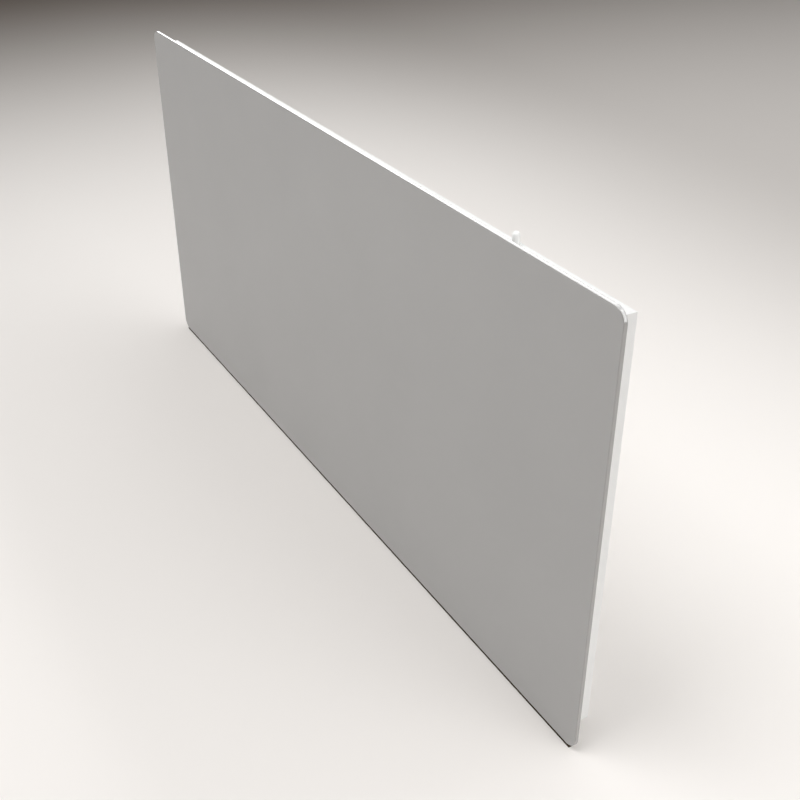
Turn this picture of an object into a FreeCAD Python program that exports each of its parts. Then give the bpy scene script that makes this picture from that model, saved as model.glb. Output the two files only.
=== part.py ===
"""Infrared panel heater for a wall: a grey glass plate bonded to a shallow white casing with a push switch.

Millimetres. X runs to the right as seen from the room, Y from the room to the wall, and Z up. The origin lies
on the wall plane, in the middle of the four keyholes that the heater hangs by.
"""
import FreeCAD, Part
import math
import os

Vector = FreeCAD.Vector

# Front plate of satin glass
plate_width = 1200.0
plate_height = 550.0
plate_thickness = 5.0
plate_corner_radius = 15.0
plate_arris_radius = 0.8

# Casing of four folded rails, set in from the edge of the plate and mitred at the corners
side_inset = 20.0
top_inset = 17.0
bottom_inset = 18.0
rail_depth = 28.5
rail_sheet = 1.5
rail_bend_radius = 0.5
front_flange = 16.0
rear_flange = 15.5
corner_key_leg = 40.0
corner_key_sheet = 2.5

# Silicone bead between the plate and the casing
seal_thickness = 1.0
seal_width = 9.0
seal_inset = 2.0

# Heating film on the back of the plate, its winding track and the film that faces it
film_margin = 2.0
film_thickness = 0.4
track_thickness = 0.25
track_width = 14.0
track_margin = 25.0
track_runs = 10
facing_thickness = 0.35
contact_base_radius = 6.0
contact_base_height = 1.0
contact_radius = 2.0

# Space for the leads between the insulation board and the rear flanges
wiring_space = 3.5

# Thermal cut-outs, one on the upper run of the track and one on the lower
cutout_radius = 8.5
cutout_height = 7.0
cutout_offset = 150.0
blade_thickness = 0.8
blade_width = 5.0
blade_spacing = 8.0

# Rear cover, its pressed beads and its screws
wall_gap = 11.0
cover_sheet = 1.0
cover_inset = 2.0
cover_corner_radius = 4.0
bead_length = 900.0
bead_width = 18.0
bead_height = 3.0
bead_edge_radius = 0.8
bead_hanger_gap = 20.0
cover_screw_end = 45.0
cover_screws_long = 6
cover_screws_short = 3
cover_screw_radius = 2.0
cover_screw_head_radius = 4.0
cover_screw_head_height = 2.6
recess_width = 1.0
recess_length = 4.4
recess_depth = 1.3

# Wall hangers: raised plates with keyholes, riveted to the rear cover
hanger_inset_x = 280.0
hanger_inset_z = 132.5
hanger_sheet = 2.0
hanger_bend_radius = 1.0
hanger_width = 44.0
hanger_foot = 16.0
hanger_below = 18.0
hanger_above = 36.0
keyhole_radius = 6.0
keyhole_slot_radius = 3.2
keyhole_slot_length = 18.0
rivet_radius = 1.6
rivet_head_radius = 3.2
rivet_head_height = 1.4
rivet_tail_radius = 2.6
rivet_tail_height = 2.0
rivet_height_shares = (0.22, 0.78)

# Push switch on the top of the casing, and the line of the wiring below it
electrics_inset = 179.0
button_radius = 4.2
button_rise = 14.5
button_travel = 2.5
button_flange_radius = 5.2
button_flange_height = 2.0
button_stop_gap = 0.3
barrel_wall = 0.9
barrel_rise = 0.6
collar_wall = 1.2
collar_height = 0.8
collar_edge_radius = 0.3
switch_width = 16.0
switch_depth = 12.0
switch_floor = 2.5
switch_lip = 3.2
switch_rear_gap = 0.5
tab_length = 8.0
spring_wire_radius = 0.35
spring_mean_radius = 3.4
spring_turns = 5
spring_pressed_length = 6.5

# Terminal box behind the lower right of the plate, its outer cover and screws
gland_room = 14.5
box_width = 120.0
box_height = 90.0
box_depth = 18.0
box_wall = 2.0
box_post_radius = 4.5
box_post_inset = 7.0
box_notch_margin = 1.0
opening_margin = 16.0
terminal_cover_overlap = 4.0
terminal_cover_thickness = 2.5
terminal_cover_corner_radius = 6.0
terminal_cover_edge_radius = 1.2
small_screw_radius = 1.5
small_screw_head_radius = 3.0
small_screw_head_height = 2.0
small_screw_grip = 9.0

# Terminal block with three poles
block_width = 54.0
block_height = 30.0
block_depth = 12.0
block_headroom = 31.5
pole_pitch = 16.0
clamp_radius = 3.0
clamp_bore_radius = 1.6
clamp_recess = 2.0
clamp_screw_radius = 1.3
clamp_screw_spacing = 14.0
clamp_screw_well_radius = 2.2
clamp_screw_head_radius = 2.0
clamp_screw_head_height = 1.5
lead_insertion = 6.0

# Earth stud inside the box
stud_radius = 2.0
stud_length = 15.0
stud_base_radius = 2.8
stud_base_height = 0.8
stud_inset = 9.0
earth_nut_across_flats = 7.0
earth_nut_height = 3.2
earth_ring_radius = 4.0
earth_ring_thickness = 0.8

# Gland for the supply cord in the bottom rail
gland_thread_radius = 6.0
gland_thread_length = 8.0
gland_bore_radius = 3.4
gland_across_flats = 16.0
gland_flange_height = 5.0
gland_neck_radius = 5.0
gland_neck_length = 4.0
gland_cap_radius = 8.0
gland_cap_height = 9.0
gland_cap_mouth = 2.0
gland_cap_edge_radius = 1.5
gland_locknut_across_flats = 15.0
gland_locknut_height = 4.0
box_cord_hole_radius = 4.0

# Leads inside the casing
lead_radius = 1.2
lead_bend_radius = 18.0
lead_run_share = 0.45
lead_jog = 12.0
lead_straight = 6.0
neutral_rise = 52.0
neutral_turn_x = 200.0
earth_rise = 16.0

# Bare rating plate on the rear cover
rating_plate_width = 90.0
rating_plate_height = 50.0
rating_plate_thickness = 0.5
rating_plate_corner_radius = 3.0
rating_plate_rise = 63.0

# Clearances, and how far cutting shapes run past what they cut
fit_clearance = 0.05
slide_clearance = 0.1
screw_clearance = 0.25
seat_clearance = 0.1
soft_clearance = 0.5
overrun = 2.0
flat_tolerance = 0.001

# Places on the way from the wall to the room
wall = 0.0
cover_back = wall - wall_gap
cover_front = cover_back - cover_sheet
rail_back = cover_front
rail_front = rail_back - rail_depth
plate_back = rail_front - seal_thickness
plate_front = plate_back - plate_thickness
film_back = plate_back + film_thickness
track_back = film_back + track_thickness
facing_back = track_back + facing_thickness
board_front = rail_front + rail_sheet
flange_inside = rail_back - rail_sheet
board_back = flange_inside - wiring_space
wiring_y = board_back + seat_clearance + lead_radius
box_front = cover_front - box_depth
block_front = box_front + box_wall
clamp_y = block_front + block_depth / 2
switch_y = flange_inside - switch_rear_gap - switch_depth / 2

# Outline of the casing and of what lies inside its rails
casing_right = plate_width / 2 - side_inset
casing_left = -casing_right
casing_top = plate_height / 2 - top_inset
casing_bottom = bottom_inset - plate_height / 2
casing_width = casing_right - casing_left
casing_height = casing_top - casing_bottom
casing_middle = (casing_top + casing_bottom) / 2
electrics_x = casing_right - electrics_inset
film_inset = front_flange + film_margin
board_inset = rail_sheet + corner_key_sheet + soft_clearance

# Places on the rear cover
hanger_spacing_x = casing_width - 2 * hanger_inset_x
hanger_spacing_z = casing_height - 2 * hanger_inset_z
bead_offset = hanger_spacing_z / 2 - hanger_above - bead_hanger_gap - bead_width / 2
rating_plate_x = -electrics_x
rating_plate_z = casing_bottom + rating_plate_rise

# Runs of the heating track, and the contacts where it starts and ends
track_left = casing_left + film_inset + track_margin
track_right = -track_left
track_top = casing_top - film_inset - track_margin
track_bottom = casing_bottom + film_inset + track_margin
contact_x = track_left + contact_base_radius

# Terminal box, terminal block and earth stud
box_left = electrics_x - box_width / 2
box_right = electrics_x + box_width / 2
box_bottom = casing_bottom + rail_sheet + gland_room
box_top = box_bottom + box_height
block_x = electrics_x + blade_spacing / 2
block_top = box_top - block_headroom
block_bottom = block_top - block_height
stud_x = box_right - stud_inset
earth_z = block_top + earth_rise
earth_nut_gap = earth_ring_thickness / 2

# Heights on the push switch
switch_top = casing_top - rail_sheet
barrel_bore_radius = button_radius + slide_clearance
barrel_radius = barrel_bore_radius + barrel_wall
collar_radius = barrel_radius + fit_clearance + collar_wall
button_flange_top = switch_top - switch_lip - button_stop_gap
button_flange_bottom = button_flange_top - button_flange_height
cavity_floor = button_flange_bottom - button_travel - spring_pressed_length
switch_bottom = cavity_floor - switch_floor
tab_bottom = switch_bottom - tab_length


def box(x_range, y_range, z_range):
    """A square-cornered block that spans a low and a high place on each axis."""
    low = Vector(x_range[0], y_range[0], z_range[0])
    return Part.makeBox(x_range[1] - x_range[0], y_range[1] - y_range[0], z_range[1] - z_range[0], low)


def rod(radius, start, end):
    """A round bar between the centres of its two ends."""
    return Part.makeCylinder(radius, (end - start).Length, start, end - start)


def level_rod(radius, x, z, y_range):
    """A round bar or bore that lies square to the wall."""
    return rod(radius, Vector(x, y_range[0], z), Vector(x, y_range[1], z))


def upright_rod(radius, x, y, z_range):
    """A round bar or bore that stands upright."""
    return rod(radius, Vector(x, y, z_range[0]), Vector(x, y, z_range[1]))


def rounded_face(points, radii):
    """A flat face with straight sides, each corner rounded to its own radius, or sharp at zero."""
    starts, middles, ends = [], [], []
    for index, corner in enumerate(points):
        to_last = (points[index - 1] - corner).normalize()
        to_next = (points[(index + 1) % len(points)] - corner).normalize()
        half_angle = to_last.getAngle(to_next) / 2
        tangent = radii[index] / math.tan(half_angle)
        starts.append(corner + to_last * tangent)
        ends.append(corner + to_next * tangent)
        inward = (to_last + to_next).normalize()
        middles.append(corner + inward * (radii[index] / math.sin(half_angle) - radii[index]))
    edges = []
    for index, radius in enumerate(radii):
        edges.append(Part.LineSegment(ends[index - 1], starts[index]).toShape())
        if radius > 0:
            edges.append(Part.Arc(starts[index], middles[index], ends[index]).toShape())
    return Part.Face(Part.Wire(edges))


def sheet(x_range, y_range, z_range, corner_radius=0.0):
    """A flat sheet that faces the room, its corners rounded in its own plane."""
    (left, right), (front, back), (bottom, top) = x_range, y_range, z_range
    places = ((left, bottom), (right, bottom), (right, top), (left, top))
    face = rounded_face([Vector(x, front, z) for x, z in places], [corner_radius] * len(places))
    return face.extrude(Vector(0, back - front, 0))


def casing_sheet(inset, y_range, corner_radius=0.0):
    """A flat sheet with the outline of the casing, drawn in by the same distance all round."""
    x_range = (casing_left + inset, casing_right - inset)
    return sheet(x_range, y_range, (casing_bottom + inset, casing_top - inset), corner_radius)


def hexagon(across_flats, centre, height):
    """A six-sided prism from its centre along a height vector, with flats towards the wall and the room."""
    corner_radius = across_flats / math.sqrt(3)
    side = Vector(corner_radius, 0, 0)
    turns = [FreeCAD.Rotation(height, 60 * step).multVec(side) for step in range(6)]
    corners = [centre + turn for turn in turns]
    return Part.Face(Part.makePolygon(corners + corners[:1])).extrude(height)


def rounded_rim(shape, radius, y=None, z=None):
    """The shape with every edge that lies flat at one depth or height rounded."""
    rim = []
    for edge in shape.Edges:
        bounds = edge.BoundBox
        if y is not None and abs(bounds.YMin - y) + abs(bounds.YMax - y) < flat_tolerance:
            rim.append(edge)
        if z is not None and abs(bounds.ZMin - z) + abs(bounds.ZMax - z) < flat_tolerance:
            rim.append(edge)
    return shape.makeFillet(radius, rim)


def front_plate():
    """The glass plate, with rounded corners and a ground arris on both faces."""
    half_width, half_height = plate_width / 2, plate_height / 2
    plate = sheet((-half_width, half_width), (plate_front, plate_back), (-half_height, half_height),
                  plate_corner_radius)
    plate = rounded_rim(plate, plate_arris_radius, y=plate_front)
    return rounded_rim(plate, plate_arris_radius, y=plate_back)


def bond_seal():
    """The silicone bead that bonds the plate to the front flanges of the casing."""
    outer = casing_sheet(seal_inset, (plate_back, rail_front))
    inner = casing_sheet(seal_inset + seal_width, (plate_back - overrun, rail_front + overrun))
    return outer.cut(inner)


def contact_places():
    """Where the track starts and ends, as x and z."""
    return ((contact_x, track_top - track_width / 2), (contact_x, track_bottom + track_width / 2))


def cutout_places():
    """Where the thermal cut-outs sit, in line with the contacts, as x and z."""
    (_, upper), (_, lower) = contact_places()
    return ((cutout_offset, upper), (-cutout_offset, lower))


def contact_bores(y_range):
    """Bores that let the contact studs pass through a layer."""
    return [level_rod(contact_base_radius + soft_clearance, x, z, y_range) for x, z in contact_places()]


def cutout_bores(y_range):
    """Bores that let the thermal cut-outs reach through a layer."""
    return [level_rod(cutout_radius + soft_clearance, x, z, y_range) for x, z in cutout_places()]


def heater_film():
    """The carrier film bonded to the back of the plate, inside the front flanges."""
    return casing_sheet(film_inset, (plate_back, film_back))


def heater_track():
    """One strip that winds to and fro over the film, and starts and ends on the left."""
    upper = track_top - track_width / 2
    pitch = (track_top - track_bottom - track_width) / (track_runs - 1)
    ends = (track_left, track_right - track_width / 2)
    inner_left = track_left + track_width / 2
    line = []
    for run in range(track_runs):
        z = upper - run * pitch
        left = ends[0] if run in (0, track_runs - 1) else inner_left
        run_ends = (left, ends[1]) if run % 2 == 0 else (ends[1], left)
        line += [Vector(x, film_back, z) for x in run_ends]
    steps = [(after - before).normalize() for before, after in zip(line, line[1:])]
    one_side, other_side = [], []
    for index, point in enumerate(line):
        offset = Vector(0, 0, 0)
        for step in steps[max(index - 1, 0):index + 1]:
            offset += Vector(-step.z, 0, step.x) * (track_width / 2)
        one_side.append(point + offset)
        other_side.append(point - offset)
    outline = one_side + other_side[::-1]
    face = Part.Face(Part.makePolygon(outline + outline[:1]))
    return face.extrude(Vector(0, track_thickness, 0))


def facing_film():
    """The insulating film over the track, open at the contacts."""
    film = casing_sheet(film_inset, (track_back, facing_back))
    return film.cut(contact_bores((track_back - overrun, facing_back + overrun)))


def film_contacts():
    """Two studs that stand on the ends of the track and reach back to the leads."""
    studs = []
    for x, z in contact_places():
        base = level_rod(contact_base_radius, x, z, (track_back, track_back + contact_base_height))
        shank = level_rod(contact_radius, x, z, (track_back, wiring_y + lead_radius))
        studs.append(base.fuse(shank).removeSplitter())
    return studs


def reflector_mat():
    """The foil-faced mat between the heating film and the insulation board."""
    mat = casing_sheet(film_inset, (facing_back, board_front))
    cut_range = (facing_back - overrun, board_front + overrun)
    return mat.cut(contact_bores(cut_range) + cutout_bores(cut_range))


def insulation_board():
    """The board that fills the casing, with pockets for the terminal box and the switch."""
    board = casing_sheet(board_inset, (board_front, board_back))
    cut_back = board_back + overrun
    box_pocket = box((box_left - soft_clearance, box_right + soft_clearance),
                     (box_front - soft_clearance, cut_back),
                     (casing_bottom, box_top + soft_clearance))
    half_switch = switch_width / 2 + soft_clearance
    switch_pocket = box((electrics_x - half_switch, electrics_x + half_switch),
                        (switch_y - switch_depth / 2 - soft_clearance, cut_back),
                        (tab_bottom - soft_clearance, casing_top))
    cut_range = (board_front - overrun, cut_back)
    return board.cut([box_pocket, switch_pocket] + contact_bores(cut_range) + cutout_bores(cut_range))


def thermal_cutouts():
    """Two round cut-outs that press on the facing film."""
    y_range = (facing_back, facing_back + cutout_height)
    return [level_rod(cutout_radius, x, z, y_range) for x, z in cutout_places()]


def cutout_blades():
    """Two blades on each cut-out, which reach back to the leads."""
    blades = []
    for x, z in cutout_places():
        for side in (-1, 1):
            middle = x + side * blade_spacing / 2
            blades.append(box((middle - blade_thickness / 2, middle + blade_thickness / 2),
                              (facing_back + cutout_height, wiring_y + lead_radius),
                              (z - blade_width / 2, z + blade_width / 2)))
    return blades


def rail(length):
    """A folded channel along X with its outer face at z = 0, its flanges below and both ends mitred."""
    outer_bend = rail_bend_radius + rail_sheet
    section = ((rail_front, 0), (rail_back, 0), (rail_back, -rear_flange), (flange_inside, -rear_flange),
               (flange_inside, -rail_sheet), (board_front, -rail_sheet), (board_front, -front_flange),
               (rail_front, -front_flange))
    radii = (outer_bend, outer_bend, 0, 0, rail_bend_radius, rail_bend_radius, 0, 0)
    profile = rounded_face([Vector(-length / 2, y, z) for y, z in section], radii)
    channel = profile.extrude(Vector(length, 0, 0))
    half, reach = length / 2, front_flange + rear_flange
    mitre_places = ((-half - overrun, overrun), (half + overrun, overrun),
                    (half - reach, -reach), (reach - half, -reach))
    corners = [Vector(x, rail_front - overrun, z) for x, z in mitre_places]
    between = Part.Face(Part.makePolygon(corners + corners[:1]))
    return channel.common(between.extrude(Vector(0, rail_depth + 2 * overrun, 0)))


def cover_screw_places():
    """Centres of the cover's screws, along the middle of the rear flanges, as x and z."""
    inset = rear_flange / 2
    places = []
    for index in range(cover_screws_long):
        share = index / (cover_screws_long - 1) - 0.5
        x = share * (casing_width - 2 * cover_screw_end)
        places += [(x, casing_top - inset), (x, casing_bottom + inset)]
    for index in range(cover_screws_short):
        share = index / (cover_screws_short - 1) - 0.5
        z = casing_middle + share * (casing_height - 2 * (cover_screw_end + rear_flange))
        places += [(casing_left + inset, z), (casing_right - inset, z)]
    return places


def casing_rails():
    """The four rails by name, with the holes for the screws, the switch and the gland."""
    cut_range = (flange_inside - overrun, rail_back + overrun)
    screw_bores = [level_rod(cover_screw_radius + fit_clearance, x, z, cut_range)
                   for x, z in cover_screw_places()]
    switch_bore = upright_rod(barrel_radius + fit_clearance, electrics_x, switch_y,
                              (switch_top - overrun, casing_top + overrun))
    gland_bore = upright_rod(gland_thread_radius + fit_clearance, electrics_x, clamp_y,
                             (casing_bottom - overrun, casing_bottom + rail_sheet + overrun))
    places = {
        "top": (casing_width, 0, Vector(0, 0, casing_top)),
        "right": (casing_height, 90, Vector(casing_right, 0, casing_middle)),
        "bottom": (casing_width, 180, Vector(0, 0, casing_bottom)),
        "left": (casing_height, 270, Vector(casing_left, 0, casing_middle)),
    }
    rails = {}
    for side, (length, angle, place) in places.items():
        piece = rail(length)
        piece.rotate(Vector(0, 0, 0), Vector(0, 1, 0), angle)
        piece.translate(place)
        rails["casing_rail_" + side] = piece.cut(screw_bores + [switch_bore, gland_bore])
    return rails


def corner_keys():
    """Four angle pieces that sit in the channels and hold the mitres together."""
    inset = rail_sheet + rail_bend_radius + seat_clearance
    y_range = (rail_front + inset, rail_back - inset)
    keys = []
    for x_side, x_edge in ((-1, casing_left), (1, casing_right)):
        for z_side, z_edge in ((-1, casing_bottom), (1, casing_top)):
            x, z = x_edge - x_side * rail_sheet, z_edge - z_side * rail_sheet
            outer_x, outer_z = x - x_side * corner_key_leg, z - z_side * corner_key_leg
            inner_x, inner_z = x - x_side * corner_key_sheet, z - z_side * corner_key_sheet
            places = ((x, z), (outer_x, z), (outer_x, inner_z),
                      (inner_x, inner_z), (inner_x, outer_z), (x, outer_z))
            corners = [Vector(px, y_range[0], pz) for px, pz in places]
            face = Part.Face(Part.makePolygon(corners + corners[:1]))
            keys.append(face.extrude(Vector(0, y_range[1] - y_range[0], 0)))
    return keys


def hanger_places():
    """Centres of the keyholes' round ends by name, as x and z."""
    places = {}
    for level, z_side in (("upper", 1), ("lower", -1)):
        for side, x_side in (("left", -1), ("right", 1)):
            places[level + "_" + side] = (x_side * hanger_spacing_x / 2, z_side * hanger_spacing_z / 2)
    return places


def rivet_places():
    """Centres of the rivets in the hangers' feet, as x and z."""
    places = []
    for x, z in hanger_places().values():
        for side in (-1, 1):
            for share in rivet_height_shares:
                rivet_z = z - hanger_below + share * (hanger_below + hanger_above)
                places.append((x + side * (hanger_width + hanger_foot) / 2, rivet_z))
    return places


def bead(z, half_width, y_range):
    """A long pressed bead with round ends, level across the cover."""
    half_length = bead_length / 2 - bead_width / 2 + half_width
    z_range = (z - half_width, z + half_width)
    return sheet((-half_length, half_length), y_range, z_range, half_width - flat_tolerance)


def small_screw_places():
    """Centres of the four posts and screws of the terminal box, as x and z."""
    return [(x, z) for x in (box_left + box_post_inset, box_right - box_post_inset)
            for z in (box_bottom + box_post_inset, box_top - box_post_inset)]


def rear_cover():
    """The sheet that closes the casing, with two stiffening beads and an opening into the terminal box."""
    cover = casing_sheet(cover_inset, (cover_front, cover_back), cover_corner_radius)
    for z in (-bead_offset, bead_offset):
        crest = cover_back + bead_height
        raised = rounded_rim(bead(z, bead_width / 2, (cover_front, crest)), bead_edge_radius, y=crest)
        hollow = bead(z, bead_width / 2 - cover_sheet, (cover_front - overrun, crest - cover_sheet))
        cover = cover.fuse(raised).cut(hollow)
    cut_range = (cover_front - overrun, cover_back + overrun)
    bore_places = ((cover_screw_radius + screw_clearance, cover_screw_places()),
                   (rivet_radius + fit_clearance, rivet_places()),
                   (small_screw_radius + screw_clearance, small_screw_places()))
    bores = [level_rod(radius, x, z, cut_range) for radius, places in bore_places for x, z in places]
    opening = box((box_left + opening_margin, box_right - opening_margin), cut_range,
                  (box_bottom + opening_margin, box_top - opening_margin))
    return cover.cut(bores + [opening]).removeSplitter()


def pan_head_screw(x, z, seat, tip, radius, head_radius, head_height):
    """A screw driven from the wall side, its head rounded and cut with a crossed recess."""
    top = seat + head_height
    head = rounded_rim(level_rod(head_radius, x, z, (seat, top)), head_height / 2, y=top)
    screw = head.fuse(level_rod(radius, x, z, (tip, seat))).removeSplitter()
    half_length, half_width = recess_length / 2, recess_width / 2
    depth = (top - recess_depth, top + overrun)
    level_slot = box((x - half_length, x + half_length), depth, (z - half_width, z + half_width))
    upright_slot = box((x - half_width, x + half_width), depth, (z - half_length, z + half_length))
    return screw.cut([level_slot, upright_slot])


def cover_screws():
    """The screws that hold the rear cover to the rear flanges and stop short of the insulation board."""
    tip = board_back + soft_clearance
    return [pan_head_screw(x, z, cover_back, tip, cover_screw_radius, cover_screw_head_radius,
                           cover_screw_head_height) for x, z in cover_screw_places()]


def hanger(x, z):
    """A raised plate on two feet, with the round end of its keyhole centred at x and z."""
    half, foot_edge = hanger_width / 2, hanger_width / 2 + hanger_foot
    inner, foot_top = half - hanger_sheet, cover_back + hanger_sheet
    outer_bend = hanger_bend_radius + hanger_sheet
    right_side = ((foot_edge, cover_back, 0), (foot_edge, foot_top, 0), (half, foot_top, hanger_bend_radius),
                  (half, wall, outer_bend))
    under_right = ((inner, wall - hanger_sheet, hanger_bend_radius), (inner, cover_back, outer_bend))
    upper_side = right_side + tuple((-px, y, r) for px, y, r in reversed(right_side))
    under_side = tuple((-px, y, r) for px, y, r in reversed(under_right)) + under_right
    section = upper_side + under_side
    bottom = z - hanger_below
    profile = rounded_face([Vector(x + px, y, bottom) for px, y, _ in section], [r for _, _, r in section])
    plate = profile.extrude(Vector(0, 0, hanger_below + hanger_above))
    cut_range = (wall - hanger_sheet - overrun, wall + overrun)
    slot_end = z + keyhole_slot_length
    foot_range = (cover_back - overrun, foot_top + overrun)
    plate = plate.cut([level_rod(rivet_radius + fit_clearance, rivet_x, rivet_z, foot_range)
                       for rivet_x, rivet_z in rivet_places()])
    return plate.cut([
        level_rod(keyhole_radius, x, z, cut_range),
        level_rod(keyhole_slot_radius, x, slot_end, cut_range),
        box((x - keyhole_slot_radius, x + keyhole_slot_radius), cut_range, (z, slot_end)),
    ])


def hanger_rivets():
    """Blind rivets through the hangers' feet and the rear cover."""
    foot_top = cover_back + hanger_sheet
    head_top = foot_top + rivet_head_height
    rivets = []
    for x, z in rivet_places():
        head = level_rod(rivet_head_radius, x, z, (foot_top, head_top))
        head = rounded_rim(head, rivet_head_height / 2, y=head_top)
        shank = level_rod(rivet_radius, x, z, (cover_front, foot_top))
        tail = level_rod(rivet_tail_radius, x, z, (cover_front - rivet_tail_height, cover_front))
        rivets.append(head.fuse([shank, tail]).removeSplitter())
    return rivets


def rating_plate():
    """A bare plate on the rear cover."""
    half_width, half_height = rating_plate_width / 2, rating_plate_height / 2
    return sheet((rating_plate_x - half_width, rating_plate_x + half_width),
                 (cover_back, cover_back + rating_plate_thickness),
                 (rating_plate_z - half_height, rating_plate_z + half_height), rating_plate_corner_radius)


def terminal_box():
    """A tub open towards the wall, with screw posts, a notch for the leads and a hole for the cord."""
    tub = box((box_left, box_right), (box_front, cover_front), (box_bottom, box_top))
    inside = box((box_left + box_wall, box_right - box_wall), (block_front, cover_front + overrun),
                 (box_bottom + box_wall, box_top - box_wall))
    posts = [level_rod(box_post_radius, x, z, (box_front, cover_front)) for x, z in small_screw_places()]
    pilots = [level_rod(small_screw_radius + fit_clearance, x, z, (block_front, cover_front + overrun))
              for x, z in small_screw_places()]
    notch_margin = lead_radius + box_notch_margin
    notch = box((block_x - pole_pitch - notch_margin, block_x + notch_margin),
                (wiring_y - notch_margin, cover_front + overrun),
                (box_top - box_wall - overrun, box_top + overrun))
    cord_hole = upright_rod(box_cord_hole_radius, electrics_x, clamp_y,
                            (box_bottom - overrun, box_bottom + box_wall + overrun))
    return tub.cut(inside).fuse(posts).removeSplitter().cut(pilots + [notch, cord_hole])


def terminal_cover():
    """The outer cover over the opening into the terminal box."""
    top = cover_back + terminal_cover_thickness
    cover = sheet((box_left - terminal_cover_overlap, box_right + terminal_cover_overlap), (cover_back, top),
                  (box_bottom - terminal_cover_overlap, box_top + terminal_cover_overlap),
                  terminal_cover_corner_radius)
    cover = rounded_rim(cover, terminal_cover_edge_radius, y=top)
    cut_range = (cover_back - overrun, top + overrun)
    return cover.cut([level_rod(small_screw_radius + screw_clearance, x, z, cut_range)
                      for x, z in small_screw_places()])


def terminal_cover_screws():
    """Four screws through the outer cover and the rear cover into the posts of the terminal box."""
    seat = cover_back + terminal_cover_thickness
    tip = cover_front - small_screw_grip
    return [pan_head_screw(x, z, seat, tip, small_screw_radius, small_screw_head_radius,
                           small_screw_head_height) for x, z in small_screw_places()]


def pole_places():
    """The x of the neutral, live and earth poles of the terminal block."""
    return [block_x + step * pole_pitch for step in (-1, 0, 1)]


def clamp_screw_places():
    """Centres of the two clamping screws of each pole, as x and z."""
    middle = (block_top + block_bottom) / 2
    return [(x, middle + side * clamp_screw_spacing / 2) for x in pole_places() for side in (-1, 1)]


def terminal_block():
    """The insulating block, bored for three clamps and for the screws that tighten them."""
    block_back = block_front + block_depth
    block = box((block_x - block_width / 2, block_x + block_width / 2), (block_front, block_back),
                (block_bottom, block_top))
    cut_range = (block_bottom - overrun, block_top + overrun)
    bores = [upright_rod(clamp_radius + fit_clearance, x, clamp_y, cut_range) for x in pole_places()]
    wells = [level_rod(clamp_screw_well_radius, x, z, (clamp_y, block_back + overrun))
             for x, z in clamp_screw_places()]
    return block.cut(bores + wells)


def terminal_clamps():
    """Three brass tubes, tapped for their clamping screws."""
    z_range = (block_bottom + clamp_recess, block_top - clamp_recess)
    cut_range = (clamp_y, clamp_y + clamp_radius + overrun)
    screw_bores = [level_rod(clamp_screw_radius + fit_clearance, x, z, cut_range)
                   for x, z in clamp_screw_places()]
    clamps = []
    for x in pole_places():
        tube = upright_rod(clamp_radius, x, clamp_y, z_range)
        bore = upright_rod(clamp_bore_radius, x, clamp_y, (z_range[0] - overrun, z_range[1] + overrun))
        clamps.append(tube.cut([bore] + screw_bores))
    return clamps


def terminal_screws():
    """Two clamping screws on each pole."""
    head_seat = clamp_y + clamp_radius + fit_clearance
    screws = []
    for x, z in clamp_screw_places():
        shank = level_rod(clamp_screw_radius, x, z, (clamp_y + lead_radius + seat_clearance, head_seat))
        head = level_rod(clamp_screw_head_radius, x, z, (head_seat, head_seat + clamp_screw_head_height))
        screws.append(shank.fuse(head).removeSplitter())
    return screws


def earth_stud():
    """The stud welded to the inside of the rear cover."""
    base = level_rod(stud_base_radius, stud_x, earth_z, (cover_front - stud_base_height, cover_front))
    shank = level_rod(stud_radius, stud_x, earth_z, (cover_front - stud_length, cover_front))
    return base.fuse(shank).removeSplitter()


def stud_bore():
    """The hole that lets a nut or ring slip over the stud."""
    cut_range = (cover_front - stud_length - overrun, cover_front)
    return level_rod(stud_radius + fit_clearance, stud_x, earth_z, cut_range)


def earth_ring():
    """The ring terminal of the earth lead, held between the two nuts."""
    ring = level_rod(earth_ring_radius, stud_x, earth_z, (clamp_y - earth_nut_gap, clamp_y + earth_nut_gap))
    return ring.cut(stud_bore())


def earth_nuts():
    """Two nuts on the stud, one on each side of the ring terminal."""
    nuts = []
    for front in (clamp_y - earth_nut_gap - earth_nut_height, clamp_y + earth_nut_gap):
        nut = hexagon(earth_nut_across_flats, Vector(stud_x, front, earth_z), Vector(0, earth_nut_height, 0))
        nuts.append(nut.cut(stud_bore()))
    return nuts


def gland_bore(radius):
    """The way of the cord through the gland, from below its cap to above its thread."""
    return upright_rod(radius, electrics_x, clamp_y, (-plate_height, box_bottom))


def cord_gland_body():
    """A hexagon under the bottom rail, a thread up through the rail and a neck down into the cap."""
    thread_top = casing_bottom + rail_sheet + gland_thread_length
    flange_bottom = casing_bottom - gland_flange_height
    neck_bottom = flange_bottom - gland_neck_length
    centre = Vector(electrics_x, clamp_y, flange_bottom)
    body = hexagon(gland_across_flats, centre, Vector(0, 0, gland_flange_height))
    thread = upright_rod(gland_thread_radius, electrics_x, clamp_y, (flange_bottom, thread_top))
    neck = upright_rod(gland_neck_radius, electrics_x, clamp_y, (neck_bottom, flange_bottom))
    return body.fuse([thread, neck]).removeSplitter().cut(gland_bore(gland_bore_radius))


def cord_gland_locknut():
    """The nut that holds the gland from inside the casing."""
    centre = Vector(electrics_x, clamp_y, casing_bottom + rail_sheet)
    nut = hexagon(gland_locknut_across_flats, centre, Vector(0, 0, gland_locknut_height))
    return nut.cut(gland_bore(gland_thread_radius + fit_clearance))


def cord_gland_seal():
    """The rubber ring between the neck of the gland and the mouth of its cap."""
    cap_top = casing_bottom - gland_flange_height
    z_range = (cap_top - gland_cap_height + gland_cap_mouth, cap_top - gland_neck_length)
    return upright_rod(gland_neck_radius, electrics_x, clamp_y, z_range).cut(gland_bore(gland_bore_radius))


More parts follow.
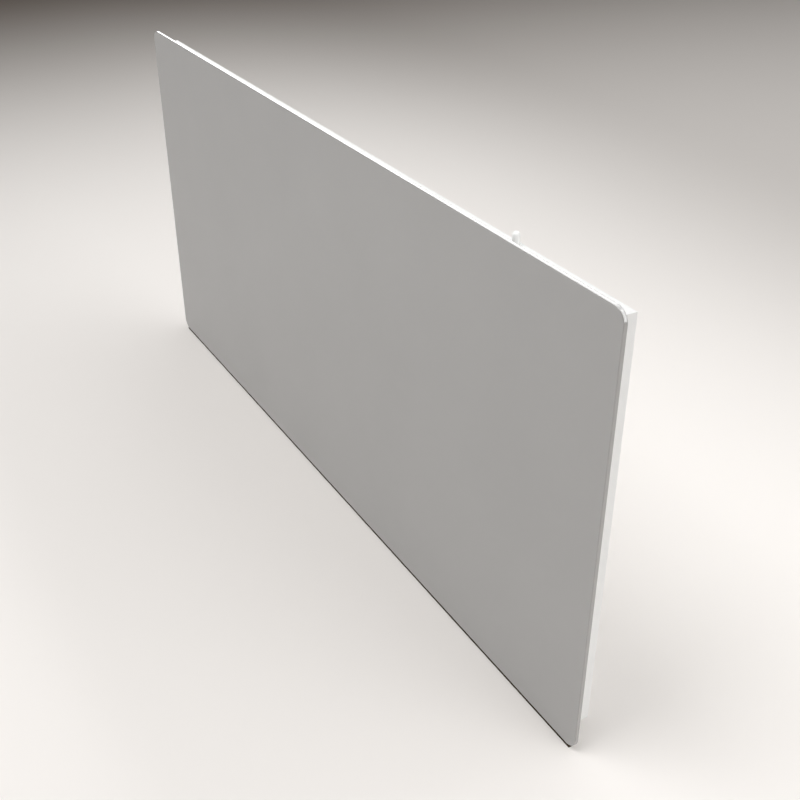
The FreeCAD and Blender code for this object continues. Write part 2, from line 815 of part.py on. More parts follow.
def cord_gland_cap():
    """The round cap that closes the gland from below."""
    cap_top = casing_bottom - gland_flange_height
    cap_bottom = cap_top - gland_cap_height
    cap = upright_rod(gland_cap_radius, electrics_x, clamp_y, (cap_bottom, cap_top))
    cap = rounded_rim(cap, gland_cap_edge_radius, z=cap_bottom)
    hollow = upright_rod(gland_neck_radius + fit_clearance, electrics_x, clamp_y,
                         (cap_bottom + gland_cap_mouth, cap_top + overrun))
    return cap.cut([hollow, gland_bore(gland_bore_radius)])


def switch_body():
    """The block under the top rail and the barrel that guides the button up through it."""
    block = box((electrics_x - switch_width / 2, electrics_x + switch_width / 2),
                (switch_y - switch_depth / 2, switch_y + switch_depth / 2), (switch_bottom, switch_top))
    barrel_top = casing_top + barrel_rise
    barrel = upright_rod(barrel_radius, electrics_x, switch_y, (switch_top, barrel_top))
    bore = upright_rod(barrel_bore_radius, electrics_x, switch_y, (cavity_floor, barrel_top + overrun))
    cavity = upright_rod(button_flange_radius + slide_clearance, electrics_x, switch_y,
                         (cavity_floor, switch_top - switch_lip))
    return block.fuse(barrel).removeSplitter().cut([bore, cavity])


def switch_collar():
    """The round nut that clamps the switch from outside the casing."""
    top = casing_top + collar_height
    collar = upright_rod(collar_radius, electrics_x, switch_y, (casing_top, top))
    collar = rounded_rim(collar, collar_edge_radius, z=top)
    return collar.cut(upright_rod(barrel_radius + fit_clearance, electrics_x, switch_y,
                                  (casing_top - overrun, top + overrun)))


def push_button():
    """The domed plunger, kept in the switch by a flange at its lower end."""
    dome_centre = casing_top + button_rise - button_radius
    shank = upright_rod(button_radius, electrics_x, switch_y, (button_flange_bottom, dome_centre))
    flange_range = (button_flange_bottom, button_flange_top)
    flange = upright_rod(button_flange_radius, electrics_x, switch_y, flange_range)
    centre = Vector(electrics_x, switch_y, dome_centre)
    dome = Part.makeSphere(button_radius, centre, Vector(0, 0, 1), 0, 90, 360)
    return shank.fuse([flange, dome]).removeSplitter()


def button_spring():
    """The coil spring that lifts the button, one wire between the floor of the switch and the flange."""
    low = cavity_floor + seat_clearance + spring_wire_radius
    high = button_flange_bottom - seat_clearance - spring_wire_radius
    pitch = (high - low) / spring_turns
    coil = Part.makeHelix(pitch, high - low, spring_mean_radius)
    coil.translate(Vector(electrics_x, switch_y, low))
    turn = coil.Edges[0]
    start = turn.valueAt(turn.FirstParameter)
    section = Part.makeCircle(spring_wire_radius, start, turn.tangentAt(turn.FirstParameter))
    print("button spring: least gap between turns", round(pitch - 2 * spring_wire_radius, 2), "mm")
    return Part.Wire(coil.Edges).makePipeShell([Part.Wire([section])], True, True)


def switch_tabs():
    """Two blades below the switch, in line with the leads."""
    tabs = []
    for side in (-1, 1):
        middle = electrics_x + side * blade_spacing / 2
        x_range = (middle - blade_thickness / 2, middle + blade_thickness / 2)
        y_range = (wiring_y - blade_width / 2, wiring_y + blade_thickness)
        tabs.append(box(x_range, y_range, (tab_bottom, switch_bottom)))
    return tabs


def lead(points):
    """A round lead along straight runs joined by tangent arcs, as wide as the runs and the lead allow."""
    edges = []
    run_start = points[0]
    for last, corner, following in zip(points, points[1:], points[2:]):
        back, ahead = last - corner, following - corner
        half_turn = (math.pi - back.getAngle(ahead)) / 2
        room = lead_run_share * min(back.Length, ahead.Length) / math.tan(half_turn)
        radius = min(lead_bend_radius, room)
        tangent = radius * math.tan(half_turn)
        inward = (back.normalize() + ahead.normalize()).normalize()
        arc_start, arc_end = corner + back * tangent, corner + ahead * tangent
        middle = corner + inward * (radius / math.cos(half_turn) - radius)
        edges.append(Part.LineSegment(run_start, arc_start).toShape())
        edges.append(Part.Arc(arc_start, middle, arc_end).toShape())
        run_start = arc_end
    edges.append(Part.LineSegment(run_start, points[-1]).toShape())
    path = Part.Wire(edges)
    section = Part.makeCircle(lead_radius, points[0], points[1] - points[0])
    tube = path.makePipeShell([Part.Wire([section])], True, False)
    print("lead of", round(path.Length), "mm: volume over section times length",
          round(tube.Volume / (math.pi * lead_radius ** 2 * path.Length), 4))
    return tube


def rise_from_block(x):
    """The first points of a lead that leaves a clamp and steps back to the plane of the wiring."""
    bend = block_top + lead_straight
    return [Vector(x, clamp_y, block_top - lead_insertion), Vector(x, clamp_y, bend),
            Vector(x, wiring_y, bend + lead_jog)]


def leads():
    """The six leads by name, each lying on the back of the insulation board outside the terminal box."""
    neutral_x, live_x, earth_x = pole_places()
    (upper_x, upper_z), (lower_x, lower_z) = cutout_places()
    blade_end = blade_spacing / 2 + blade_thickness / 2 + seat_clearance
    tab_end = tab_bottom - seat_clearance
    contact_end = contact_x + contact_radius + seat_clearance
    switched_x = electrics_x - blade_spacing / 2
    neutral_z = box_top + neutral_rise
    return {
        "live_lead": lead(rise_from_block(live_x) + [Vector(live_x, wiring_y, tab_end)]),
        "switched_lead": lead([
            Vector(switched_x, wiring_y, tab_end), Vector(switched_x, wiring_y, upper_z),
            Vector(upper_x + blade_end, wiring_y, upper_z)]),
        "link_lead": lead([
            Vector(upper_x - blade_end, wiring_y, upper_z), Vector(contact_end, wiring_y, upper_z)]),
        "return_lead": lead([
            Vector(contact_end, wiring_y, lower_z), Vector(lower_x - blade_end, wiring_y, lower_z)]),
        "neutral_lead": lead(rise_from_block(neutral_x) + [
            Vector(neutral_x, wiring_y, neutral_z), Vector(neutral_turn_x, wiring_y, neutral_z),
            Vector(neutral_turn_x, wiring_y, lower_z), Vector(lower_x + blade_end, wiring_y, lower_z)]),
        "earth_lead": lead([
            Vector(earth_x, clamp_y, block_top - lead_insertion), Vector(earth_x, clamp_y, earth_z),
            Vector(stud_x - earth_ring_radius - seat_clearance, clamp_y, earth_z)]),
    }


def pieces():
    """Every piece of the heater by name, from the room to the wall."""
    named = {"front_plate": front_plate(), "bond_seal": bond_seal(), "heater_film": heater_film(),
             "heater_track": heater_track(), "facing_film": facing_film(), "film_contacts": film_contacts(),
             "reflector_mat": reflector_mat(), "insulation_board": insulation_board(),
             "thermal_cutouts": thermal_cutouts(), "cutout_blades": cutout_blades()}
    named.update(casing_rails())
    named.update({"corner_keys": corner_keys(), "rear_cover": rear_cover(), "cover_screws": cover_screws()})
    for name, (x, z) in hanger_places().items():
        named["hanger_" + name] = hanger(x, z)
    named.update({"hanger_rivets": hanger_rivets(), "rating_plate": rating_plate()})
    named.update({"terminal_box": terminal_box(), "terminal_cover": terminal_cover(),
                  "terminal_cover_screws": terminal_cover_screws(), "terminal_block": terminal_block(),
                  "terminal_clamps": terminal_clamps(), "terminal_screws": terminal_screws(),
                  "earth_stud": earth_stud(), "earth_ring": earth_ring(), "earth_nuts": earth_nuts()})
    named.update({"cord_gland_body": cord_gland_body(), "cord_gland_locknut": cord_gland_locknut(),
                  "cord_gland_seal": cord_gland_seal(), "cord_gland_cap": cord_gland_cap()})
    named.update({"switch_body": switch_body(), "switch_collar": switch_collar(),
                  "switch_tabs": switch_tabs(), "push_button": push_button(),
                  "button_spring": button_spring()})
    named.update(leads())
    return named


os.makedirs("parts", exist_ok=True)
for node, made in pieces().items():
    shape = Part.makeCompound(made) if isinstance(made, list) else made
    shape.exportStep(os.path.join("parts", node + ".step"))
    state = "sound" if shape.isValid() else "unsound"
    print(node, len(shape.Solids), "solids,", state, round(shape.Volume), "mm3")
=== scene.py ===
"""Looks of an infrared panel heater: a grey glass plate on a shallow white casing with a push switch.

Metres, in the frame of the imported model: X runs to the right as seen from the room, Y from the room to
the wall and Z up, with the origin on the wall plane in the middle of the keyholes.
"""
import logging
import math
from dataclasses import dataclass
from enum import Enum, IntEnum
from typing import Callable, Mapping, Optional, Sequence, Union

import bmesh
import bpy
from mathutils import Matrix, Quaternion, Vector


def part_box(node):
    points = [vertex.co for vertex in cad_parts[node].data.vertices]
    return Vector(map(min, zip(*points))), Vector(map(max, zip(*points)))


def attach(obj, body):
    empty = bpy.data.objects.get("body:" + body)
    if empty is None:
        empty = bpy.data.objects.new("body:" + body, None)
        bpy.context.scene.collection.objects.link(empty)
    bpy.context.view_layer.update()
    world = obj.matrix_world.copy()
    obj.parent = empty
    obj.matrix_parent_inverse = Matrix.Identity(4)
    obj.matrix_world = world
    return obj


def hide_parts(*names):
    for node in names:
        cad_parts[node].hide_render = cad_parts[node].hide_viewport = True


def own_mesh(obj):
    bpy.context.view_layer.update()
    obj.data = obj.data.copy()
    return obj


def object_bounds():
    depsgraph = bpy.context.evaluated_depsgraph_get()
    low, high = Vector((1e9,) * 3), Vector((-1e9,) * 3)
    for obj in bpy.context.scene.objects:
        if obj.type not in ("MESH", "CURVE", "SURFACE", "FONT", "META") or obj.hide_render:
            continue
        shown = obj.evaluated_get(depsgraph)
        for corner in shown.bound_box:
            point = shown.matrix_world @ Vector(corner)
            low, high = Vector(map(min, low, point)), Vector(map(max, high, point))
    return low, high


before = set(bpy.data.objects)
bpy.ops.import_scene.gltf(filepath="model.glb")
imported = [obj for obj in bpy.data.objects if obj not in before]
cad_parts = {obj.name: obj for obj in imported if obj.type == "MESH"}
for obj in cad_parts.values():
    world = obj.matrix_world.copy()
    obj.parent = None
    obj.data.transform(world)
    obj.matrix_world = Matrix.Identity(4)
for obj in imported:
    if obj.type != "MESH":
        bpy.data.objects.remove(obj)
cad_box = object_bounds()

log = logging.getLogger("heater")
MM = 0.001
MM_PER_METRE = 1000
QUARTER_TURN = math.pi / 2
FULL_TURN = 2 * math.pi
GLASS_IOR = 1.5
# Two levels closer than this are the same level.
TINY = 1e-5
# A choice of edges by their radius reaches past the radius by this much.
SLACK = 0.1 * MM
# The sharpest angles between faces that are shaded round: on most pieces, and on a dome or an arris.
ROUND_DEGREES = 35.0
DOME_DEGREES = 50.0
Colour = tuple[float, float, float, float]
Element = Union[bmesh.types.BMVert, bmesh.types.BMEdge, bmesh.types.BMFace]


class Body(Enum):
    """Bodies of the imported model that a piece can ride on."""

    HEATER = "heater"
    BUTTON = "button"


class Slot(Enum):
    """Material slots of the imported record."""

    GLASS = "satin_glass"
    WHITE_PLASTIC = "white_plastic"
    GREY_NYLON = "grey_nylon"
    ZINC = "zinc_plated_steel"


class Pick(Enum):
    """Kinds of mesh element that an operator can be given."""

    POINTS = (True, False, False)
    EDGES = (False, True, False)
    FACES = (False, False, True)


class Axis(IntEnum):
    """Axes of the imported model's frame."""

    X = 0
    Y = 1
    Z = 2


def linear(colour: str) -> Colour:
    """Turn an sRGB colour into linear light.

    Args:
        colour: Hex digits of red, green and blue after a hash sign.

    Returns:
        Linear red, green, blue and an alpha of one.
    """
    shares = [int(colour[start:start + 2], 16) / 255 for start in (1, 3, 5)]
    light = [s / 12.92 if s <= 0.04045 else ((s + 0.055) / 1.055) ** 2.4 for s in shares]
    return (*light, 1.0)


def per_metre(size_mm: float) -> float:
    """Texture scale at which one feature of a pattern is size_mm across."""
    return MM_PER_METRE / size_mm


def add_node(tree: bpy.types.NodeTree, kind: str,
             links: Optional[Mapping[Union[int, str], bpy.types.NodeSocket]] = None,
             values: Optional[Mapping[Union[int, str], object]] = None,
             **settings: object) -> bpy.types.Node:
    """Add a node with its settings, its input values and its links.

    Args:
        tree: The node tree that takes the node.
        kind: Blender's name of the node type.
        links: Sockets of other nodes by the input that they feed.
        values: Fixed values by input.
        settings: Attributes of the node itself.

    Returns:
        The new node.
    """
    node = tree.nodes.new(kind)
    for name, value in settings.items():
        setattr(node, name, value)
    for key, value in (values or {}).items():
        node.inputs[key].default_value = value
    for key, socket in (links or {}).items():
        tree.links.new(socket, node.inputs[key])
    return node


@dataclass(frozen=True)
class Surface:
    """A material in the making: its nodes, its shader and the Object coordinates, in metres."""

    tree: bpy.types.NodeTree
    shader: bpy.types.Node
    place: bpy.types.NodeSocket


@dataclass(frozen=True)
class Finish:
    """A surface of the object: what it is made of and how it was made."""

    name: str
    colour: str
    shade: str
    roughness: tuple[float, float]

    def dress(self, surface: Surface) -> None:
        """Add the finish's own patterns.

        Args:
            surface: The material in the making.
        """
        raise NotImplementedError

    def material(self) -> bpy.types.Material:
        """Make the material once and share it afterwards.

        Returns:
            The material of this finish.
        """
        found = bpy.data.materials.get(self.name)
        if found is not None:
            return found
        made = bpy.data.materials.new(self.name)
        made.use_nodes = True
        tree = made.node_tree
        tree.nodes.clear()
        place = add_node(tree, "ShaderNodeTexCoord").outputs["Object"]
        shader = add_node(tree, "ShaderNodeBsdfPrincipled")
        add_node(tree, "ShaderNodeOutputMaterial", {"Surface": shader.outputs["BSDF"]})
        self.dress(Surface(tree, shader, place))
        return made

    def lay_patterns(self, surface: Surface, tone: bpy.types.NodeSocket,
                     relief: Optional[bpy.types.NodeSocket] = None, depth_mm: float = 0.0) -> None:
        """Let one pattern run the colour and the roughness, and another raise the surface.

        Args:
            surface: The material in the making.
            tone: From zero, the colour and the first roughness, to one, the shade and the second.
            relief: From zero to one, where the surface has a relief.
            depth_mm: How high a one of the relief stands over a zero.
        """
        tree, shader = surface.tree, surface.shader
        mix = add_node(tree, "ShaderNodeMix", {0: tone}, {6: linear(self.colour), 7: linear(self.shade)},
                       data_type="RGBA")
        rough = add_node(tree, "ShaderNodeMapRange", {"Value": tone},
                         {"To Min": self.roughness[0], "To Max": self.roughness[1]})
        tree.links.new(mix.outputs[2], shader.inputs["Base Color"])
        tree.links.new(rough.outputs["Result"], shader.inputs["Roughness"])
        if relief is not None:
            bump = add_node(tree, "ShaderNodeBump", {"Height": relief},
                            {"Distance": depth_mm * MM, "Strength": 1.0})
            tree.links.new(bump.outputs["Normal"], shader.inputs["Normal"])


@dataclass(frozen=True)
class EtchedGlass(Finish):
    """Float glass with an acid-etched face over a grey enamel.

    The etch takes the mirror image away and leaves a broad soft sheen. Its tooth is 0.05 mm wide, too fine
    to show, so it is drawn at 2 mm, and the bath leaves a faint cloud a hand's width across.
    """

    tooth_mm: float = 2.0
    tooth_depth_mm: float = 0.004
    cloud_mm: float = 140.0

    def dress(self, surface: Surface) -> None:
        """Add the cloud and the tooth of the etch.

        Args:
            surface: The material in the making.
        """
        cloud = add_node(surface.tree, "ShaderNodeTexNoise", {"Vector": surface.place},
                         {"Scale": per_metre(self.cloud_mm), "Detail": 3.0})
        tooth = add_node(surface.tree, "ShaderNodeTexNoise", {"Vector": surface.place},
                         {"Scale": per_metre(self.tooth_mm), "Detail": 2.0})
        self.lay_patterns(surface, cloud.outputs["Fac"], tooth.outputs["Fac"], self.tooth_depth_mm)
        surface.shader.inputs["IOR"].default_value = GLASS_IOR


@dataclass(frozen=True)
class PolishedGlassEdge(Finish):
    """The rim of the plate, ground round and polished.

    The polish gives bright reflections of the lamps. The marks of the wheel are too fine to show, so they
    are drawn 1.2 mm wide.
    """

    mark_mm: float = 1.2
    mark_depth_mm: float = 0.002
    polish_roughness: float = 0.12
    polish_ior: float = 1.7

    def dress(self, surface: Surface) -> None:
        """Add the marks of the wheel under a clear polish.

        Args:
            surface: The material in the making.
        """
        marks = add_node(surface.tree, "ShaderNodeTexNoise", {"Vector": surface.place},
                         {"Scale": per_metre(self.mark_mm), "Detail": 2.0})
        self.lay_patterns(surface, marks.outputs["Fac"], marks.outputs["Fac"], self.mark_depth_mm)
        surface.shader.inputs["IOR"].default_value = GLASS_IOR
        surface.shader.inputs["Coat Weight"].default_value = 1.0
        surface.shader.inputs["Coat Roughness"].default_value = self.polish_roughness
        surface.shader.inputs["Coat IOR"].default_value = self.polish_ior


@dataclass(frozen=True)
class PowderCoat(Finish):
    """Polyester powder baked on folded steel.

    The powder flows out to a satin skin with the small waves of orange peel, 1.6 mm from crest to crest.
    """

    peel_mm: float = 1.6
    peel_depth_mm: float = 0.02
    drift_mm: float = 90.0

    def dress(self, surface: Surface) -> None:
        """Add the orange peel and a slow drift in the thickness of the coat.

        Args:
            surface: The material in the making.
        """
        drift = add_node(surface.tree, "ShaderNodeTexNoise", {"Vector": surface.place},
                         {"Scale": per_metre(self.drift_mm), "Detail": 2.0})
        peel = add_node(surface.tree, "ShaderNodeTexNoise", {"Vector": surface.place},
                        {"Scale": per_metre(self.peel_mm), "Detail": 1.0})
        self.lay_patterns(surface, drift.outputs["Fac"], peel.outputs["Fac"], self.peel_depth_mm)


@dataclass(frozen=True)
class MouldedPlastic(Finish):
    """A plastic or rubber piece from a spark-eroded mould.

    The mould leaves an even fine grain, and the flow of the melt leaves soft clouds in the tone.
    """

    grain_mm: float = 0.5
    grain_depth_mm: float = 0.008
    flow_mm: float = 12.0
    flow_twist: float = 0.6

    def dress(self, surface: Surface) -> None:
        """Add the grain of the mould and the flow of the melt.

        Args:
            surface: The material in the making.
        """
        flow = add_node(surface.tree, "ShaderNodeTexNoise", {"Vector": surface.place},
                        {"Scale": per_metre(self.flow_mm), "Detail": 2.0, "Distortion": self.flow_twist})
        grain = add_node(surface.tree, "ShaderNodeTexNoise", {"Vector": surface.place},
                         {"Scale": per_metre(self.grain_mm), "Detail": 1.0})
        self.lay_patterns(surface, flow.outputs["Fac"], grain.outputs["Fac"], self.grain_depth_mm)


@dataclass(frozen=True)
class PlatedSteel(Finish):
    """Pressed steel with a passivated zinc plate.

    The plate is a cool grey metal with a faint spangle of crystals, each with its own tone and gloss.
    """

    crystal_mm: float = 3.5
    scuff_mm: float = 0.8
    scuff_depth_mm: float = 0.003

    def dress(self, surface: Surface) -> None:
        """Add the crystals and the fine scuffs of tumbling.

        Args:
            surface: The material in the making.
        """
        crystals = add_node(surface.tree, "ShaderNodeTexVoronoi", {"Vector": surface.place},
                            {"Scale": per_metre(self.crystal_mm)})
        tone = add_node(surface.tree, "ShaderNodeSeparateColor", {"Color": crystals.outputs["Color"]})
        scuffs = add_node(surface.tree, "ShaderNodeTexNoise", {"Vector": surface.place},
                          {"Scale": per_metre(self.scuff_mm), "Detail": 3.0})
        self.lay_patterns(surface, tone.outputs["Red"], scuffs.outputs["Fac"], self.scuff_depth_mm)
        surface.shader.inputs["Metallic"].default_value = 1.0


@dataclass(frozen=True)
class DrawnMetal(Finish):
    """Rolled, drawn or turned metal with lines left by the tool.

    The lines run one way, so the surface has streaks that are many times longer than they are wide.
    """

    line_mm: float = 0.4
    line_depth_mm: float = 0.002
    stretch: tuple[float, float, float] = (0.02, 1.0, 1.0)

    def dress(self, surface: Surface) -> None:
        """Add the lines of the tool.

        Args:
            surface: The material in the making.
        """
        along = add_node(surface.tree, "ShaderNodeMapping", {"Vector": surface.place},
                         {"Scale": self.stretch})
        lines = add_node(surface.tree, "ShaderNodeTexNoise", {"Vector": along.outputs["Vector"]},
                         {"Scale": per_metre(self.line_mm), "Detail": 2.0})
        self.lay_patterns(surface, lines.outputs["Fac"], lines.outputs["Fac"], self.line_depth_mm)
        surface.shader.inputs["Metallic"].default_value = 1.0


@dataclass(frozen=True)
class LaminatedFilm(Finish):
    """A thin plastic film rolled down on glass, or the skin of a lead.

    It lies nearly flat, with slow waves from the roller and a smooth gloss.
    """

    wave_mm: float = 9.0
    wave_depth_mm: float = 0.01

    def dress(self, surface: Surface) -> None:
        """Add the waves of the roller.

        Args:
            surface: The material in the making.
        """
        waves = add_node(surface.tree, "ShaderNodeTexNoise", {"Vector": surface.place},
                         {"Scale": per_metre(self.wave_mm), "Detail": 2.0})
        self.lay_patterns(surface, waves.outputs["Fac"], waves.outputs["Fac"], self.wave_depth_mm)


@dataclass(frozen=True)
class CrinkledFoil(Finish):
    """Aluminium foil glued on a soft mat.

    Handling creases it into small facets that catch the light one by one.
    """

    crease_mm: float = 7.0
    crease_depth_mm: float = 0.25

    def dress(self, surface: Surface) -> None:
        """Add the creases.

        Args:
            surface: The material in the making.
        """
        creases = add_node(surface.tree, "ShaderNodeTexVoronoi", {"Vector": surface.place},
                           {"Scale": per_metre(self.crease_mm)}, feature="SMOOTH_F1")
        self.lay_patterns(surface, creases.outputs["Distance"], creases.outputs["Distance"],
                          self.crease_depth_mm)
        surface.shader.inputs["Metallic"].default_value = 1.0


@dataclass(frozen=True)
class FibreBoard(Finish):
    """Mineral wool pressed to a board with a little binder.

    Short fibres lie along the board in tufts of straw and brown, and nothing on it shines. One fibre is too
    fine to show, so they are drawn 1.4 mm wide.
    """

    fibre_mm: float = 1.4
    fibre_depth_mm: float = 0.4
    stretch: tuple[float, float, float] = (0.2, 1.0, 1.0)
    tuft_mm: float = 16.0

    def dress(self, surface: Surface) -> None:
        """Add the tufts and the fibres.

        Args:
            surface: The material in the making.
        """
        along = add_node(surface.tree, "ShaderNodeMapping", {"Vector": surface.place},
                         {"Scale": self.stretch})
        fibres = add_node(surface.tree, "ShaderNodeTexNoise", {"Vector": along.outputs["Vector"]},
                          {"Scale": per_metre(self.fibre_mm), "Detail": 5.0, "Roughness": 0.7})
        tufts = add_node(surface.tree, "ShaderNodeTexNoise", {"Vector": surface.place},
                         {"Scale": per_metre(self.tuft_mm), "Detail": 3.0})
        blend = add_node(surface.tree, "ShaderNodeMath",
                         {0: fibres.outputs["Fac"], 1: tufts.outputs["Fac"]}, operation="MULTIPLY")
        self.lay_patterns(surface, blend.outputs["Value"], fibres.outputs["Fac"], self.fibre_depth_mm)


GLASS = EtchedGlass("acid_etched_glass_grey_enamel", "#A2A1A0", "#9E9D9C", (0.46, 0.54))
GLASS_EDGE = PolishedGlassEdge("ground_and_polished_glass_rim", "#9A9997", "#959492", (0.30, 0.42))
WHITE_COAT = PowderCoat("white_powder_coat_baked", "#EEEEED", "#EBEBEA", (0.34, 0.48))
WHITE_PLASTIC = MouldedPlastic("white_abs_moulded", "#F8F8F7", "#F4F4F2", (0.30, 0.40))
GREY_NYLON = MouldedPlastic("grey_nylon_moulded", "#BDBEBE", "#B4B5B6", (0.48, 0.60))
IVORY_NYLON = MouldedPlastic("ivory_nylon_moulded", "#EAE5D6", "#E2DCCA", (0.42, 0.54))
BLACK_PHENOLIC = MouldedPlastic("black_phenolic_moulded", "#2B2A2A", "#363433", (0.30, 0.46))
BLACK_RUBBER = MouldedPlastic("black_rubber_moulded", "#2A2A2B", "#333334", (0.62, 0.74), grain_mm=0.8)
SILICONE = MouldedPlastic("grey_silicone_bead", "#B9B8B6", "#B0AFAD", (0.40, 0.52), grain_mm=1.5,
                          flow_mm=25.0)
ZINC = PlatedSteel("zinc_plated_steel_pressed", "#D2D4D7", "#C3C6CB", (0.26, 0.40))
BRASS = DrawnMetal("brass_turned", "#D9BC7C", "#CDAE6C", (0.22, 0.36), stretch=(1.0, 1.0, 0.1))
RATING_ALUMINIUM = DrawnMetal("aluminium_sheet_brushed", "#DADBDD", "#CDCED1", (0.30, 0.44))
TRACK_FOIL = DrawnMetal("nickel_alloy_foil_etched", "#C9C6C0", "#BDB9B2", (0.26, 0.38))
AMBER_FILM = LaminatedFilm("amber_polyimide_film_laminated", "#C98A32", "#BE7F2A", (0.24, 0.34))
FACING_FILM = LaminatedFilm("white_polyester_film_laminated", "#E3E2DE", "#DAD9D4", (0.28, 0.38))
REFLECTOR = CrinkledFoil("aluminium_foil_on_mat_glued", "#DCDDDF", "#CFD0D3", (0.20, 0.36))
WOOL = FibreBoard("mineral_wool_board_pressed", "#D2BE8C", "#9C8458", (0.86, 0.95))
BROWN_LEAD = LaminatedFilm("brown_pvc_lead_extruded", "#6B4630", "#5F3D29", (0.36, 0.48), wave_mm=3.0)
BLUE_LEAD = LaminatedFilm("blue_pvc_lead_extruded", "#3F6CA8", "#38629A", (0.36, 0.48), wave_mm=3.0)
GREEN_LEAD = LaminatedFilm("green_pvc_lead_extruded", "#6FA04A", "#659442", (0.36, 0.48), wave_mm=3.0)
PALE_LEAD = LaminatedFilm("white_silicone_lead_extruded", "#DEDDD9", "#D4D3CE", (0.42, 0.54),
                          wave_mm=3.0)


class Workpiece:
    """A mesh on the bench: a primitive that operators shape, one selection at a time."""

    def __init__(self, name: str, add: Callable[..., object], scale: Sequence[float] = (1.0, 1.0, 1.0),
                 **settings: object) -> None:
        """Add the primitive at its size and place, alone in the selection, and open it for editing.

        Args:
            name: The name of the finished piece.
            add: The operator that adds the primitive.
            scale: How far the primitive is stretched on its own axes.
            settings: The size and the place, as the operator takes them.
        """
        bpy.ops.object.select_all(action="DESELECT")
        add(**settings)
        self.piece = bpy.context.object
        self.piece.name = name
        self.piece.data.name = name
        self.piece.scale = scale
        bpy.ops.object.transform_apply(location=True, rotation=True, scale=True)
        bpy.ops.object.mode_set(mode="EDIT")

    def choose(self, pick: Pick, test: Callable[[Element], bool]) -> "Workpiece":
        """Select the elements that pass a test, and nothing else.

        Args:
            pick: The kind of element.
            test: Whether an element is taken, from its place or normal.

        Returns:
            This piece, for the operator that follows.
        """
        bpy.context.tool_settings.mesh_select_mode = pick.value
        bpy.ops.mesh.select_all(action="DESELECT")
        mesh = bmesh.from_edit_mesh(self.piece.data)
        elements = {Pick.POINTS: mesh.verts, Pick.EDGES: mesh.edges, Pick.FACES: mesh.faces}[pick]
        for element in elements:
            element.select_set(test(element))
        mesh.select_flush_mode()
        bmesh.update_edit_mesh(self.piece.data)
        return self

    def extrude(self, move: Sequence[float]) -> "Workpiece":
        """Extrude the selection by a move in metres."""
        bpy.ops.mesh.extrude_region_move(TRANSFORM_OT_translate={"value": tuple(move)})
        return self

    def inset(self, width: float, depth: float = 0.0, single: bool = False) -> "Workpiece":
        """Inset the selected faces by a width, together or one by one, and sink or raise them."""
        bpy.ops.mesh.inset(thickness=width, depth=depth, use_individual=single, use_even_offset=True)
        return self

    def bevel(self, width: float, segments: int, points: bool = False) -> "Workpiece":
        """Round the selected edges, or the selected points in their plane."""
        bpy.ops.mesh.bevel(offset=width, segments=segments, profile=0.5, clamp_overlap=True,
                           affect="VERTICES" if points else "EDGES")
        return self

    def drop_faces(self) -> "Workpiece":
        """Delete the selected faces and leave their edges."""
        bpy.ops.mesh.delete(type="FACE")
        return self

    def bridge(self) -> "Workpiece":
        """Join the two selected loops with a ring of faces."""
        bpy.ops.mesh.bridge_edge_loops()
        return self

    def done(self, smooth_degrees: float = ROUND_DEGREES) -> bpy.types.Object:
        """Turn the faces outwards, leave the bench and shade the curved faces smooth.

        Args:
            smooth_degrees: The sharpest angle between faces that still looks round.

        Returns:
            The finished object, with its place in its mesh.
        """
        bpy.ops.mesh.select_all(action="SELECT")
        bpy.ops.mesh.normals_make_consistent(inside=False)
        bpy.ops.object.mode_set(mode="OBJECT")
        bpy.ops.object.shade_smooth_by_angle(angle=math.radians(smooth_degrees))
        return self.piece


def at(element: Element, axis: Axis, level: float) -> bool:
    """Whether every point of an edge or face lies at one level on an axis."""
    return all(abs(point.co[axis] - level) < TINY for point in element.verts)


def reach(element: Element, middle: Vector) -> list[float]:
    """Distances of an element's points from an upright line through the middle, shortest first."""
    return sorted((point.co.xy - middle.xy).length for point in element.verts)


def near(element: Element, middle: Vector, radius: float) -> bool:
    """Whether every point of an edge or face lies within a radius of an upright line."""
    return reach(element, middle)[-1] < radius


def beyond(element: Element, middle: Vector, radius: float) -> bool:
    """Whether every point of an edge or face lies outside a radius of an upright line."""
    return reach(element, middle)[0] > radius


def apply_modifier(piece: bpy.types.Object, kind: str, **settings: object) -> None:
    """Add a modifier to a piece and apply it.

    Args:
        piece: The piece that it changes.
        kind: Blender's name of the modifier type.
        settings: Attributes of the modifier.
    """
    bpy.ops.object.select_all(action="DESELECT")
    piece.select_set(True)
    bpy.context.view_layer.objects.active = piece
    modifier = piece.modifiers.new(kind.lower(), kind)
    for name, value in settings.items():
        setattr(modifier, name, value)
    bpy.ops.object.modifier_apply(modifier=modifier.name)


def seat(piece: bpy.types.Object, body: Body, node: str, finish: Finish) -> None:
    """Give a new piece its finish and its body, and hide the node that it stands for.

    Args:
        piece: The new piece.
        body: What it rides on.
        node: The node that it replaces.
        finish: The finish of a piece that has none yet.
    """
    if not piece.data.materials:
        piece.data.materials.append(finish.material())
    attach(piece, body.value)
    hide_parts(node)
    log.info("made %s for %s on %s", piece.name, node, body.value)


def dress_nodes(finishes: Mapping[str, Finish]) -> None:
    """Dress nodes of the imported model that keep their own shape.

    Args:
        finishes: The finish of each node by name.
    """
    for name, finish in finishes.items():
        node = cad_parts[name]
        node.data.materials.clear()
        node.data.materials.append(finish.material())
        log.info("dressed %s with %s", name, finish.name)


